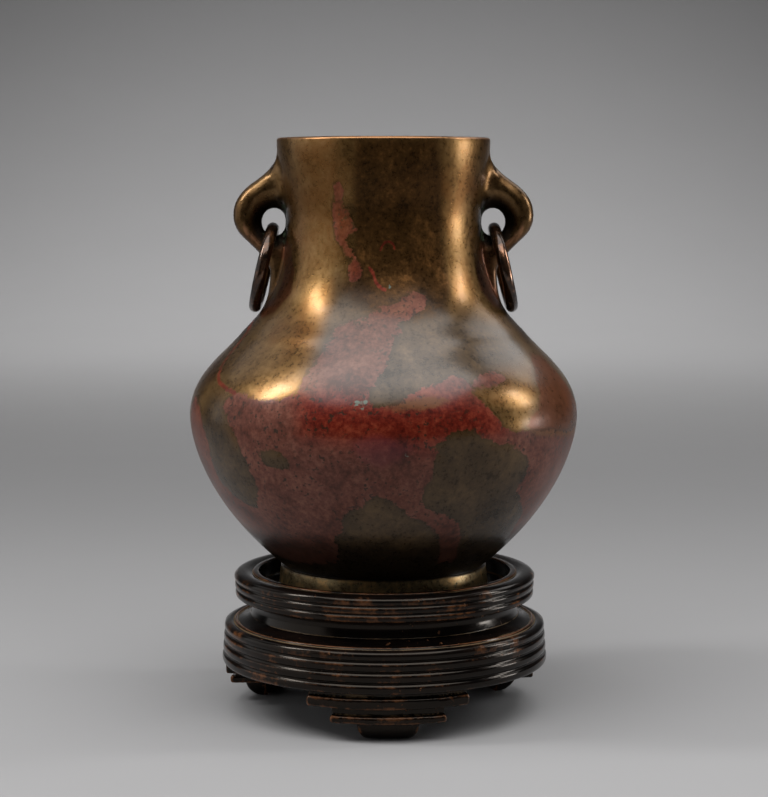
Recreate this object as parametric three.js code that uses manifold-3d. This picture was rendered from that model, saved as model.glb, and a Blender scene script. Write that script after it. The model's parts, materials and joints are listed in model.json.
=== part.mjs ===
// Bronze hu vase with two loop handles and captive rings, on a turned wooden stand.
// Millimetres. +Z is up and the origin is on the ground, under the middle of the vase.
// The loops lie to the left (-X) and right (+X). The front is towards -Y.
import * as THREE from "three";
import { mergeVertices } from "three/addons/utils/BufferGeometryUtils.js";
import Module from "manifold-3d";

const wasm = await Module();
wasm.setup();

// Vase body. Heights are above the bottom of its foot.
const vaseHeight = 235.2;
const vaseWall = 3;
const mouthRadius = 55.5;
const mouthFlare = 12.8;
const neckRadius = 50.7;
const neckHeight = 192.2;
const neckRise = 10.8;
const neckDrop = 39.7;
const shoulderRadius = 74.3;
const shoulderHeight = 134;
const shoulderSlope = 50.4;
const shoulderReachUp = 11.1;
const shoulderReachDown = 13.9;
const bellyRadius = 101.5;
const bellyHeight = 91.2;
const bellyRise = 21.1;
const bellyDrop = 9.5;
const undersideSlope = 39.1;
const undersideReach = 55;

// Foot ring of the vase and the floor above it
const footRadius = 55.4;
const footTopRadius = 54.4;
const footWall = 4.4;
const footHeight = 11.7;
const footCrease = 1.4;
const footRecess = 9;
const floorThickness = 4;

// Loop handles. Reaches are measured out from the narrowest part of the neck.
const loopHoleReach = 6.3;
const loopHoleHeight = 191.7;
const loopHoleHalfWidth = 6.4;
const loopHoleHalfHeight = 7.2;
const loopReach = 27.5;
const loopThickness = 15;
const loopRounding = 4.3;
const loopShoulderReach = 16.9;
const loopShoulderRise = 20.7;
const loopShoulderSlope = 35;
const loopUnderReach = 19.8;
const loopUnderDrop = 10.4;
const loopUnderSlope = 44;
const loopTopBelowRim = 3.6;
const ridgeReach = 8.4;
const ridgeDrop = 26;
const ridgeLength = 25;
const ridgeEndReach = 16.4;
const rootDepth = 14;

// Captive rings
const ringRadius = 20.8;
const ringWireRadius = 3.3;
const ringSeatShift = 0.7;
const ringGap = 0.5;

// Stand. Heights are above the ground.
const trayRadius = 79.4;
const trayTop = 73;
const trayFloor = 64.5;
const trayReedHeight = 4.2;
const trayReedDepth = 2;
const trayReedCount = 3;
const trayTaper = 0.25;
const wellRadius = 66.5;
const wellBeadWidth = 3.2;
const wellBeadRise = 0.5;
const waistRadius = 69.4;
const waistFlare = 1.3;
const waistFootHeight = 51.4;
const ledgeLineRadius = 78.6;
const ledgeLineWidth = 1.2;
const baseRadius = 86;
const baseTop = 47.4;
const baseReedHeight = 5.5;
const baseReedDepth = 2.2;
const baseReedCount = 4;
const baseTaper = 0.43;
const undersideRadius = 68;
const undersideNeck = 58;
const undersideShoulder = 40;
const trayThickness = 8;

// Stepped feet, cut out of the turned ring below the base
const feetTurns = [-88.6, 33.5, 155];
const footInnerRadius = 66;
const upperStep = { radius: 84.4, top: 23.3, bottom: 17.4, halfAngle: 29.4, quirk: 2.6 };
const lowerStep = { radius: 83, top: 13.8, bottom: 9.6, halfAngle: 21, quirk: 2.8 };
const toe = { radius: 78, bottomRadius: 72, halfAngle: 12 };

const seatGap = 0.3;
const roundSteps = 40;
const ringSteps = 24;
const wireSteps = 8;
const vaseBase = trayFloor + seatGap;

// The vase stands a hair to the left of the middle of its stand.
const standShift = 0.5;

const radians = THREE.MathUtils.degToRad;
const point = (r, z) => new THREE.Vector2(r, z);

// A point that lies a distance away from another, at an angle above the outward direction.
function along(start, angle, distance) {
  const a = radians(angle);
  return point(start.x + distance * Math.cos(a), start.y + distance * Math.sin(a));
}

// Points of a smooth stretch between two ends with a handle point for each.
function sweep(start, startHandle, endHandle, end, steps) {
  return new THREE.CubicBezierCurve(start, startHandle, endHandle, end).getPoints(steps);
}

// One vertex for each corner, and no triangle that has collapsed to a line.
function weld(geometry) {
  const bare = geometry.clone();
  bare.deleteAttribute("normal");
  bare.deleteAttribute("uv");
  const merged = mergeVertices(bare, 1e-4);
  const corners = merged.index.array;
  const kept = [];
  for (let i = 0; i < corners.length; i += 3) {
    const [a, b, c] = corners.slice(i, i + 3);
    if (a !== b && b !== c && c !== a) kept.push(a, b, c);
  }
  merged.setIndex(kept);
  return merged;
}

function solid(geometry) {
  const merged = weld(geometry);
  const mesh = new wasm.Mesh({
    numProp: 3,
    vertProperties: merged.attributes.position.array,
    triVerts: new Uint32Array(merged.index.array),
  });
  return new wasm.Manifold(mesh);
}

function surface(body) {
  const mesh = body.getMesh();
  const geometry = new THREE.BufferGeometry();
  geometry.setAttribute("position", new THREE.BufferAttribute(mesh.vertProperties, 3));
  geometry.setIndex(new THREE.BufferAttribute(mesh.triVerts, 1));
  geometry.computeVertexNormals();
  return geometry;
}

// A closed turned body. Its profile runs up the outside and ends where it starts, or on the axis.
function turned(profile) {
  return new THREE.LatheGeometry(profile, roundSteps).rotateX(Math.PI / 2);
}

// Outside of the vase from the top of its foot to the start of the lip, in four smooth stretches.
function vaseOutline(steps = [6, 5, 6, 4]) {
  const foot = point(footTopRadius - footCrease, footHeight + footCrease / 2);
  const belly = point(bellyRadius, bellyHeight);
  const shoulder = point(shoulderRadius, shoulderHeight);
  const neck = point(neckRadius, neckHeight);
  const lip = point(mouthRadius, vaseHeight - vaseWall / 2);
  const underside = sweep(
    foot,
    along(foot, undersideSlope, undersideReach),
    along(belly, -90, bellyDrop),
    belly,
    steps[0],
  );
  const lowerShoulder = sweep(
    belly,
    along(belly, 90, bellyRise),
    along(shoulder, -shoulderSlope, shoulderReachDown),
    shoulder,
    steps[1],
  );
  const upperShoulder = sweep(
    shoulder,
    along(shoulder, 180 - shoulderSlope, shoulderReachUp),
    along(neck, -90, neckDrop),
    neck,
    steps[2],
  );
  const mouthHandle = along(lip, -90, mouthFlare);
  const mouth = sweep(neck, along(neck, 90, neckRise), mouthHandle, lip, steps[3]);
  return [underside, lowerShoulder, upperShoulder, mouth].flatMap((s, i) => (i ? s.slice(1) : s));
}

// The same line moved into the wall by its thickness.
function insideOf(outline, wall) {
  return outline.map((p, i) => {
    const before = outline[Math.max(i - 1, 0)];
    const after = outline[Math.min(i + 1, outline.length - 1)];
    const way = after.clone().sub(before).normalize();
    return point(p.x - wall * way.y, p.y + wall * way.x);
  });
}

// A quarter of the rounded lip, about the middle of the wall.
function lipPoints(side) {
  const steps = 2;
  const middle = mouthRadius - vaseWall / 2;
  const points = [];
  for (let i = 1; i <= steps; i++) {
    const a = (Math.PI / 2) * (i / steps);
    const rise = (vaseWall / 2) * Math.sin(a);
    points.push(point(middle + side * (vaseWall / 2) * Math.cos(a), vaseHeight - vaseWall / 2 + rise));
  }
  return points;
}

function vaseBody() {
  const profile = [
    point(0, footRecess),
    point(footRadius - footWall, footRecess),
    point(footRadius - footWall, 0),
    point(footRadius, 0),
    point(footTopRadius, footHeight),
    ...vaseOutline(),
    ...lipPoints(1),
    point(0, vaseHeight),
  ];
  return solid(turned(profile));
}

function vaseHollow() {
  const floor = footRecess + floorThickness;
  const line = insideOf(vaseOutline([4, 4, 5, 3]), vaseWall);
  const wall = line.filter((p) => p.y > floor && p.y < vaseHeight - vaseWall / 2);
  const lipStart = point(mouthRadius - vaseWall, vaseHeight - vaseWall / 2);
  const lipTop = mouthRadius - vaseWall / 2;
  const above = vaseHeight + vaseWall;
  const profile = [
    point(0, floor),
    point(wall[0].x - floorThickness, floor),
    ...wall,
    lipStart,
    ...lipPoints(-1),
    point(lipTop, above),
    point(0, above),
  ];
  return solid(turned(profile));
}

// Outline of one loop and of the ridge that runs from it down to the shoulder.
function loopOutline() {
  const steps = 4;
  const outer = neckRadius + loopReach;
  const root = point(mouthRadius - vaseWall / 2, vaseHeight - loopTopBelowRim);
  const hip = point(neckRadius + loopShoulderReach, loopHoleHeight + loopShoulderRise);
  const side = point(outer, loopHoleHeight + loopHoleHalfHeight / 2);
  const under = point(neckRadius + loopUnderReach, loopHoleHeight - loopUnderDrop);
  const ridge = point(neckRadius + ridgeReach, loopHoleHeight - ridgeDrop);
  const ridgeEnd = point(neckRadius + ridgeEndReach, ridge.y - ridgeLength);
  const flare = sweep(root, along(root, -84, 10), along(hip, 180 - loopShoulderSlope, 9), hip, steps);
  const top = sweep(hip, along(hip, -loopShoulderSlope, 7), along(side, 90, 8), side, steps);
  const bottom = sweep(side, along(side, -90, 8), along(under, loopUnderSlope, 4), under, steps);
  const diagonal = sweep(
    under,
    along(under, loopUnderSlope - 180, 10),
    along(ridge, 90, 4),
    ridge,
    steps,
  );
  const tail = sweep(ridge, along(ridge, -90, 13), along(ridgeEnd, 140, 5), ridgeEnd, steps);
  return { arm: [flare, top, bottom, diagonal].flatMap((s, i) => (i ? s.slice(1) : s)), tail };
}

// One loop handle: a rounded bar round a hole beside the neck, its root sunk into the wall.
function loopHandle({ arm, tail }) {
  const sunk = neckRadius - rootDepth;
  const heel = point(tail.at(-1).x, tail.at(-1).y - rootDepth);
  const outline = [point(sunk, arm[0].y), ...arm, ...tail.slice(1), heel, point(sunk, heel.y)];
  const shape = new THREE.Shape(outline.reverse());
  const hole = new THREE.Path();
  const holeReach = neckRadius + loopHoleReach;
  hole.absellipse(holeReach, loopHoleHeight, loopHoleHalfWidth, loopHoleHalfHeight, 0, 2 * Math.PI);
  shape.holes.push(hole);
  const flat = loopThickness / 6;
  const geometry = new THREE.ExtrudeGeometry(shape, {
    depth: flat,
    bevelThickness: (loopThickness - flat) / 2,
    bevelSize: loopRounding,
    bevelOffset: -loopRounding,
    bevelSegments: 2,
    curveSegments: 8,
  });
  geometry.translate(0, 0, -flat / 2);
  geometry.rotateX(Math.PI / 2);
  return solid(geometry);
}

function vase() {
  const loop = loopHandle(loopOutline());
  const half = [0, 0, 180];
  const joined = vaseBody().add(loop).add(loop.rotate(half));
  return surface(joined.subtract(vaseHollow()));
}

// Where a ring's wire hangs in the hole of its loop, in the right half.
function ringPivot() {
  const rest = loopHoleHeight - loopHoleHalfHeight + ringWireRadius + ringGap;
  return point(neckRadius + loopHoleReach + ringSeatShift, rest);
}

// Clearance between the low side of a hanging ring and the vase, for an outward lean.
function ringClearance(pivot, lean, lines) {
  const low = along(pivot, lean - 90, 2 * ringRadius);
  const distances = lines.flatMap((line) => {
    const segments = line.slice(1).map((p, i) => [line[i], p]);
    return segments.map(([a, b]) => {
      const way = b.clone().sub(a);
      const share = THREE.MathUtils.clamp(low.clone().sub(a).dot(way) / way.lengthSq(), 0, 1);
      const near = a.clone().addScaledVector(way, share);
      const outside = low.x > near.x ? 1 : -1;
      return outside * near.distanceTo(low);
    });
  });
  const nearest = distances.reduce((best, d) => (Math.abs(d) < Math.abs(best) ? d : best));
  return nearest - ringWireRadius;
}

// The lean at which the ring comes to rest against the shoulder or its ridge.
function ringLean(pivot) {
  const lines = [vaseOutline(), loopOutline().tail];
  let lean = 0;
  while (lean < 60 && ringClearance(pivot, lean, lines) < ringGap) lean += 0.05;
  return lean;
}

function ring() {
  const torus = new THREE.TorusGeometry(ringRadius, ringWireRadius, wireSteps, ringSteps);
  return torus.rotateY(Math.PI / 2).translate(0, 0, -ringRadius);
}

// Reeds stacked downwards from a top height, each a bulge between two grooves.
function reeds(top, height, depth, count, radiusOf) {
  const points = [];
  for (let k = 0; k < count; k++) {
    const middle = top - height * (k + 0.5);
    if (!k) points.push(point(radiusOf(k) - depth, top));
    points.push(point(radiusOf(k), middle + height / 4));
    points.push(point(radiusOf(k), middle - height / 4));
    points.push(point(radiusOf(k) - depth, middle - height / 2));
  }
  return points;
}

// The turned stand from the middle of the tray, over the rim and down to the underside.
function standBody() {
  const beadEnd = wellRadius + wellBeadWidth;
  const trayReeds = reeds(
    trayTop,
    trayReedHeight,
    trayReedDepth,
    trayReedCount,
    (k) => trayRadius - trayTaper * k,
  );
  const baseReeds = reeds(
    baseTop,
    baseReedHeight,
    baseReedDepth,
    baseReedCount,
    (k) => baseRadius - baseTaper * (baseReedCount - 1 - k),
  );
  const trayBottom = trayReeds.at(-1).y;
  const waistMiddle = (trayBottom + waistFootHeight) / 2;
  const line = ledgeLineRadius;
  const lineTop = baseTop + ledgeLineWidth / 2;
  const down = [
    point(0, trayFloor),
    point(wellRadius, trayFloor),
    point(wellRadius, trayTop - wellBeadRise),
    point(wellRadius + wellBeadWidth / 4, trayTop + wellBeadRise),
    point(beadEnd - wellBeadWidth / 4, trayTop + wellBeadRise),
    point(beadEnd, trayTop - wellBeadRise / 2),
    point((beadEnd + trayRadius) / 2, trayTop + wellBeadRise / 2),
    ...trayReeds,
    point(waistRadius + waistFlare, trayBottom),
    point(waistRadius, waistMiddle + trayReedHeight / 4),
    point(waistRadius, waistMiddle - trayReedHeight / 4),
    point(waistRadius + waistFlare, waistFootHeight),
    point((waistRadius + line) / 2, (waistFootHeight + 3 * baseTop) / 4),
    point(line - ledgeLineWidth / 2, baseTop),
    point(line, lineTop),
    point(line + ledgeLineWidth / 2, baseTop),
    ...baseReeds,
    point(undersideRadius, baseReeds.at(-1).y),
    point(undersideRadius, undersideShoulder),
    point(undersideNeck, (undersideShoulder + trayFloor - trayThickness) / 2),
    point(undersideNeck, trayFloor - trayThickness),
    point(0, trayFloor - trayThickness),
  ];
  return { body: solid(turned(down.reverse())), bottom: baseReeds.at(-1).y };
}

// The turned ring that the feet are cut from, reaching up into the base.
function feetRing(top) {
  const section = [
    point(footInnerRadius, 0),
    point(toe.bottomRadius, 0),
    point((toe.radius + toe.bottomRadius) / 2, lowerStep.bottom / 8),
    point(toe.radius, lowerStep.bottom),
    point(lowerStep.radius, lowerStep.bottom),
    point(lowerStep.radius, lowerStep.top),
    point(lowerStep.radius - lowerStep.quirk, lowerStep.top),
    point(lowerStep.radius - lowerStep.quirk, upperStep.bottom),
    point(upperStep.radius, upperStep.bottom),
    point(upperStep.radius, (upperStep.bottom + 3 * upperStep.top) / 4),
    point(upperStep.radius - upperStep.quirk / 2, upperStep.top),
    point(upperStep.radius - upperStep.quirk, upperStep.top),
    point(upperStep.radius - upperStep.quirk, top),
    point(footInnerRadius, top),
    point(footInnerRadius, 0),
  ];
  return solid(turned(section));
}

// A wedge about the axis, seen from above, between two heights.
function wedge(halfAngle, bottom, top) {
  const reach = 2 * baseRadius;
  const shape = new THREE.Shape([
    point(0, 0),
    along(point(0, 0), -halfAngle, reach),
    along(point(0, 0), halfAngle, reach),
  ]);
  const geometry = new THREE.ExtrudeGeometry(shape, { depth: top - bottom, bevelEnabled: false });
  return solid(geometry.translate(0, 0, bottom));
}

function stand() {
  const { body, bottom } = standBody();
  const top = bottom + baseReedDepth;
  const ringOfFeet = feetRing(top);
  const cut = wedge(upperStep.halfAngle, upperStep.bottom, top)
    .add(wedge(lowerStep.halfAngle, lowerStep.bottom, top))
    .add(wedge(toe.halfAngle, -seatGap, top));
  let whole = body;
  for (const angle of feetTurns) {
    const turn = [0, 0, angle];
    whole = whole.add(ringOfFeet.intersect(cut.rotate(turn)));
  }
  return surface(whole);
}

const bronze = new THREE.MeshStandardMaterial({ color: 0x5b4a2e, roughness: 0.42, metalness: 0.85 });
const darkBronze = new THREE.MeshStandardMaterial({ color: 0x3a281d, roughness: 0.4, metalness: 0.85 });
const lacquer = new THREE.MeshStandardMaterial({ color: 0x211812, roughness: 0.45, metalness: 0 });

function named(name, geometry, material) {
  const mesh = new THREE.Mesh(geometry, material);
  mesh.name = name;
  return mesh;
}

const object = new THREE.Group();
const plinth = named("stand", stand(), lacquer);
plinth.position.x = standShift;
object.add(plinth);

const bronzes = new THREE.Group();
bronzes.position.z = vaseBase;
bronzes.add(named("vase", vase(), bronze));
object.add(bronzes);

const pivot = ringPivot();
const lean = radians(ringLean(pivot));
for (const [name, side] of [
  ["left_ring", -1],
  ["right_ring", 1],
]) {
  const hanging = named(name, ring(), darkBronze.clone());
  hanging.position.set(side * pivot.x, 0, pivot.y);
  hanging.rotation.y = -side * lean;
  bronzes.add(hanging);
}

export default object;
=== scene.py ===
# A patinated bronze hu vase with loop handles and loose rings, on its turned wooden stand.
# Shapes are worked out in millimetres and their meshes are made in metres.
import json
import math

import bpy
import numpy as np
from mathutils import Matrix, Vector


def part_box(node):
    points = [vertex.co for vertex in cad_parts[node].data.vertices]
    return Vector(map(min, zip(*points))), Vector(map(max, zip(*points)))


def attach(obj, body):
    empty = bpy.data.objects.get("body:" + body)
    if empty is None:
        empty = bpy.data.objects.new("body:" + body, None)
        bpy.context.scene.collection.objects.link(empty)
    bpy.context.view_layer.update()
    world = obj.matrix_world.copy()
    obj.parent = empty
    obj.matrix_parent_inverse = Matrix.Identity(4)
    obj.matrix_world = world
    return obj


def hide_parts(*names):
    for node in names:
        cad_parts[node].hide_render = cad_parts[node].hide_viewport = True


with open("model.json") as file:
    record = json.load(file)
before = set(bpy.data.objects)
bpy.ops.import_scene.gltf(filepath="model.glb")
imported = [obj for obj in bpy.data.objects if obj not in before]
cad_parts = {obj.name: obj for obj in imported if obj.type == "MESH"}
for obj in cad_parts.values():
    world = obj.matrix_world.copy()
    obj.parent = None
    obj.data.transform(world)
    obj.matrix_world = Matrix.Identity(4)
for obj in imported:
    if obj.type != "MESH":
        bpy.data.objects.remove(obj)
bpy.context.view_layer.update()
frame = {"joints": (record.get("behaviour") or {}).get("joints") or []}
MM = 0.001

# The camera stands in front of the vase, a little below its rim, and looks slightly down.
CAMERA_PLACE = (0.00029, -1.1045, 0.279)
CAMERA_DIP = math.radians(5.95)
FOCAL_PIXELS = 2110.0
PICTURE_WIDTH, PICTURE_HEIGHT = 768, 797
SENSOR = 36.0

# The vase's outline. Heights are above the bottom of its foot.
FOOT_RADIUS, FOOT_TOP_RADIUS, FOOT_HEIGHT = 55.4, 54.4, 11.7
FOOT_WALL, FOOT_RECESS, FOOT_CREASE = 4.4, 9.0, 1.4
UNDERSIDE_SLOPE, UNDERSIDE_REACH = 39.1, 55.0
BELLY_HEIGHT, BELLY_RISE, BELLY_DROP = 91.2, 21.1, 9.5
SHOULDER_RADIUS, SHOULDER_HEIGHT, SHOULDER_SLOPE = 74.3, 134.0, 50.4
SHOULDER_REACH_UP, SHOULDER_REACH_DOWN = 11.1, 13.9
NECK_RADIUS, NECK_HEIGHT, NECK_RISE, NECK_DROP = 50.7, 192.2, 10.8, 39.7
MOUTH_RADIUS, MOUTH_FLARE = 55.5, 12.8
VASE_WALL, VASE_FLOOR = 3.0, 13.0

# The loops. Reaches are measured out from the narrowest part of the neck.
HOLE_REACH, HOLE_HEIGHT, HOLE_HALF_WIDTH, HOLE_HALF_HEIGHT = 6.3, 191.7, 6.4, 7.2
LOOP_REACH, LOOP_HALF_THICKNESS, LOOP_TOP_BELOW_RIM = 27.5, 7.5, 3.6
LOOP_ROUNDING, RIDGE_ROUNDING = 6.6, 3.2
HIP_REACH, HIP_RISE, HIP_SLOPE = 16.9, 20.7, 35.0
UNDER_REACH, UNDER_DROP, UNDER_SLOPE = 19.8, 10.4, 44.0
RIDGE_REACH, RIDGE_DROP, RIDGE_LENGTH, RIDGE_END_REACH = 8.4, 26.0, 25.0, 16.4
ROOT_DEPTH = 14.0
ROOT_FILLET, RIDGE_FILLET = 8.5, 1.6
FUNNEL_DEPTH, FUNNEL_REACH, RIDGE_TAPER = 4.2, 9.5, 0.26

# The box round one loop and the one round its side view, each with the size of its grid's cells
LOOP_LOW, LOOP_HIGH, LOOP_CELL = (36.0, -17.4, 133.0), (80.5, 17.4, 236.5), 0.62
SIDE_LOW, SIDE_HIGH, SIDE_CELL = (34.0, 120.0), (92.0, 242.0), 0.25
# Heights between which the ridge turns into the loop, and where the root's fillet grows and fades
RIDGE_TOP, LOOP_BOTTOM = 168, 180
FILLET_START, FILLET_FULL, FILLET_FADE = 197, 208, 219

RING_WIRE, RING_WEAR = 3.3, 0.12
RING_TURNS, RING_SIDES = 200, 36
VASE_COLUMNS, STAND_COLUMNS = 232, 240

# The turned stand. Heights are above the ground.
TRAY_RADIUS, TRAY_TOP, TRAY_FLOOR = 79.4, 73.0, 64.5
TRAY_REED, TRAY_REED_DEPTH, TRAY_REEDS, TRAY_TAPER = 4.2, 2.0, 3, 0.25
WELL_RADIUS, BEAD_WIDTH, BEAD_RISE = 66.5, 3.2, 0.5
WAIST_RADIUS, WAIST_FLARE, WAIST_FOOT = 69.4, 1.3, 51.4
LEDGE_LINE_RADIUS = 78.6
BASE_RADIUS, BASE_TOP = 86.0, 47.4
BASE_REED, BASE_REED_DEPTH, BASE_REEDS, BASE_TAPER = 5.5, 2.2, 4, 0.43
UNDERSIDE_RADIUS, UNDERSIDE_NECK, UNDERSIDE_SHOULDER, TRAY_THICKNESS = 68.0, 58.0, 40.0, 8.0

# The stepped feet: outer radius, bottom, top and half angle of each step.
FOOT_TURNS = (-88.6, 33.5, 155.0)
FOOT_INNER_RADIUS = 66.0
UPPER_STEP = (84.4, 17.4, 23.3, 29.4)
LOWER_STEP = (83.0, 9.6, 13.8, 21.0)
TOE_RADIUS, TOE_BOTTOM_RADIUS, TOE_ANGLE = 78.0, 72.0, 12.0
UPPER_QUIRK, LOWER_QUIRK = 2.6, 2.8
FOOT_ROOT, FOOT_WEAR = 3.6, 0.16
# The box round one foot: half its angle, its radii, how far below the ground and above the step
FOOT_SPAN, FOOT_RADII, FOOT_BELOW, FOOT_ABOVE, FOOT_CELL = 31, (64, 86), 1.2, 5, 0.8


def corners(node):
    """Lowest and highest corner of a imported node, in millimetres."""
    low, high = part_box(node)
    return np.array(low) / MM, np.array(high) / MM


VASE_LOW, VASE_HIGH = corners("vase")
VASE_BASE, VASE_HEIGHT = VASE_LOW[2], VASE_HIGH[2] - VASE_LOW[2]
BELLY_RADIUS = VASE_HIGH[1]
STAND_LOW, STAND_HIGH = corners("stand")
STAND_MIDDLE = (STAND_LOW[0] + STAND_HIGH[0]) / 2
CREASE = (FOOT_TOP_RADIUS - FOOT_CREASE, FOOT_HEIGHT + FOOT_CREASE / 2)


def away(start, degrees, distance):
    a = math.radians(degrees)
    return (start[0] + distance * math.cos(a), start[1] + distance * math.sin(a))


def sweep(a, b, c, d, steps):
    """Points of a smooth stretch between two ends with a handle point for each."""
    t = np.linspace(0, 1, steps + 1)[:, None]
    a, b, c, d = (np.array(p, float) for p in (a, b, c, d))
    return (1 - t) ** 3 * a + 3 * (1 - t) ** 2 * t * b + 3 * (1 - t) * t**2 * c + t**3 * d


def joined(*stretches):
    return np.vstack([stretches[0]] + [s[1:] for s in stretches[1:]])


def eased(*corner_list):
    """A line of (radius, height, easing) corners, each rounded off over its easing."""
    line = np.array([c[:2] for c in corner_list], float)
    out = [line[0]]
    for i in range(1, len(line) - 1):
        ease, here = corner_list[i][2], line[i]
        if not ease:
            out.append(here)
            continue
        ends = []
        for other in (line[i - 1], line[i + 1]):
            way = other - here
            length = np.linalg.norm(way)
            ends.append(here + way / length * min(ease, length * 0.48))
        for t in np.linspace(0, 1, 5):
            out.append((1 - t) ** 2 * ends[0] + 2 * t * (1 - t) * here + t * t * ends[1])
    return np.array([*out, line[-1]])


def filled(line, gap):
    """The same line with points added so that none is further from the next than the gap."""
    out = [line[0]]
    for a, b in zip(line[:-1], line[1:]):
        n = max(1, math.ceil(np.linalg.norm(b - a) / gap))
        out.extend(a + (b - a) * k / n for k in range(1, n + 1))
    return np.array(out)


def vase_outline(detail=1.0):
    """Outside of the vase from the top of its foot to the lip, as (radius, height) rows."""
    belly = (BELLY_RADIUS, BELLY_HEIGHT)
    shoulder = (SHOULDER_RADIUS, SHOULDER_HEIGHT)
    neck = (NECK_RADIUS, NECK_HEIGHT)
    lip = (MOUTH_RADIUS, VASE_HEIGHT - VASE_WALL / 2)
    n = [round(k * detail) for k in (50, 30, 34, 22)]
    under = away(CREASE, UNDERSIDE_SLOPE, UNDERSIDE_REACH)
    above = away(shoulder, 180 - SHOULDER_SLOPE, SHOULDER_REACH_UP)
    below = away(shoulder, -SHOULDER_SLOPE, SHOULDER_REACH_DOWN)
    return joined(
        sweep(CREASE, under, away(belly, -90, BELLY_DROP), belly, n[0]),
        sweep(belly, away(belly, 90, BELLY_RISE), below, shoulder, n[1]),
        sweep(shoulder, above, away(neck, -90, NECK_DROP), neck, n[2]),
        sweep(neck, away(neck, 90, NECK_RISE), away(lip, -90, MOUTH_FLARE), lip, n[3]),
    )


OUTLINE = vase_outline(3)


def radius_at(height):
    return np.interp(height, OUTLINE[:, 1], OUTLINE[:, 0])


# Slow waves, the same for any piece, that stand for the unevenness of cast or carved work.
WAVES = np.random.default_rng(7).normal(size=(3, 14, 3))
PHASES = np.random.default_rng(8).uniform(0, 2 * math.pi, size=(3, 14))


def unevenness(points, size, layer=0):
    """Smooth values around 0 that vary over about the given size, in millimetres."""
    waves = WAVES[layer] * (2.2 / size)
    return np.sin(points @ waves.T + PHASES[layer]).mean(1) * 2


def lathe(profile, columns):
    """Points and faces of a turned profile, whose first and last points lie on the axis."""
    a = np.linspace(0, 2 * math.pi, columns, endpoint=False)
    ring, k = profile[1:-1], np.arange(columns)
    z = np.repeat(ring[:, 1:], columns, axis=1)
    points = np.stack([ring[:, :1] * np.cos(a), ring[:, :1] * np.sin(a), z], 2).reshape(-1, 3)
    nxt, top, total = (k + 1) % columns, len(points) - columns, len(points)
    base = np.arange(0, top, columns)[:, None]
    quads = np.stack([base + k, base + nxt, base + columns + nxt, base + columns + k], 2)
    first = np.stack([np.full(columns, total), nxt, k], 1)
    last = np.stack([np.full(columns, total + 1), top + k, top + nxt], 1)
    points = np.vstack([points, [[0, 0, profile[0, 1]], [0, 0, profile[-1, 1]]]])
    return points, quads.reshape(-1, 4).tolist() + first.tolist() + last.tolist()


def edge_distance(places, polygon):
    """Distance of flat places to the edge of a closed polygon, positive outside it."""
    best = np.full(len(places), 1e9)
    inside = np.zeros(len(places), bool)
    for a, b in zip(polygon, np.roll(polygon, -1, axis=0)):
        way, rel = b - a, places - a
        share = np.clip(rel @ way / max(way @ way, 1e-12), 0, 1)
        best = np.minimum(best, np.linalg.norm(rel - share[:, None] * way, axis=1))
        crosses = (a[1] > places[:, 1]) != (b[1] > places[:, 1])
        rise = way[1] if abs(way[1]) > 1e-12 else 1e-12
        inside ^= crosses & (places[:, 0] < a[0] + (places[:, 1] - a[1]) * way[0] / rise)
    return np.where(inside, -best, best)


def soft_least(a, b, reach):
    """The smaller of two distances, with a fillet of the given reach where they meet."""
    h = np.clip(1 - np.abs(a - b) / reach, 0, None)
    return np.minimum(a, b) - h * h * reach / 4


def soft_most(a, b, reach):
    return -soft_least(-a, -b, reach)


def rounded_bar(side, depth, rounding):
    """Distance to a bar from the distances past its outline and past its thickness."""
    p, q = side + rounding, depth + rounding
    return np.minimum(np.maximum(p, q), 0) + np.hypot(np.maximum(p, 0), np.maximum(q, 0)) - rounding


def smooth_step(x, low, high):
    t = np.clip((x - low) / (high - low), 0, 1)
    return t * t * (3 - 2 * t)


def crossings(values, at, axis):
    """Values of a part of the grid, those one step along an axis, and where the sign changes."""
    on = list(at)
    on[axis] = slice(1, values.shape[axis])
    here, there = values[tuple(at)], values[tuple(on)]
    return here, there, (here < 0) != (there < 0)


def skin(field, low, high, cell):
    """Points and faces of the surface where a distance field is nothing, found on a fine grid."""
    axes = [np.arange(a, b + cell, cell) for a, b in zip(low, high)]
    grid = np.stack(np.meshgrid(*axes, indexing="ij"), -1)
    values = field(grid.reshape(-1, 3)).reshape(grid.shape[:3])
    cells = tuple(n - 1 for n in values.shape)
    total, count = np.zeros(cells + (3,)), np.zeros(cells)
    for axis in range(3):
        for starts in ([0, 0], [0, 1], [1, 0], [1, 1]):
            starts.insert(axis, 0)
            at = tuple(slice(start, n + start) for start, n in zip(starts, cells))
            here, there, cut = crossings(values, at, axis)
            place = grid[at].copy()
            place[..., axis] += np.where(cut, here / np.where(cut, here - there, 1), 0) * cell
            total += place * cut[..., None]
            count += cut
    used = count > 0
    number = np.full(cells, -1)
    number[used] = np.arange(used.sum())
    points = total[used] / count[used][:, None]
    faces = []
    for axis in range(3):
        starts = np.array([k != axis for k in range(3)], int)
        at = [slice(start, n) for start, n in zip(starts, cells)]
        here, _, cut = crossings(values, at, axis)
        steps = np.insert([(-1, -1), (0, -1), (0, 0), (-1, 0)], axis, 0, axis=1)
        around = (np.argwhere(cut) + starts)[:, None] + steps
        quad = number[tuple(np.moveaxis(around, 2, 0))]
        back = (here[cut] < 0) == (axis == 1)
        quad[back] = quad[back][:, ::-1]
        faces.append(quad)
    for _ in range(4):
        slope = gradient(field, points)
        step = field(points) / np.maximum((slope**2).sum(1), 0.2)
        points = points - np.clip(step, -cell / 2, cell / 2)[:, None] * slope
    return points, np.vstack(faces).tolist()


def gradient(field, points, h=0.02):
    return np.stack([field(points + d) - field(points - d) for d in h * np.eye(3)], 1) / (2 * h)


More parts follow.
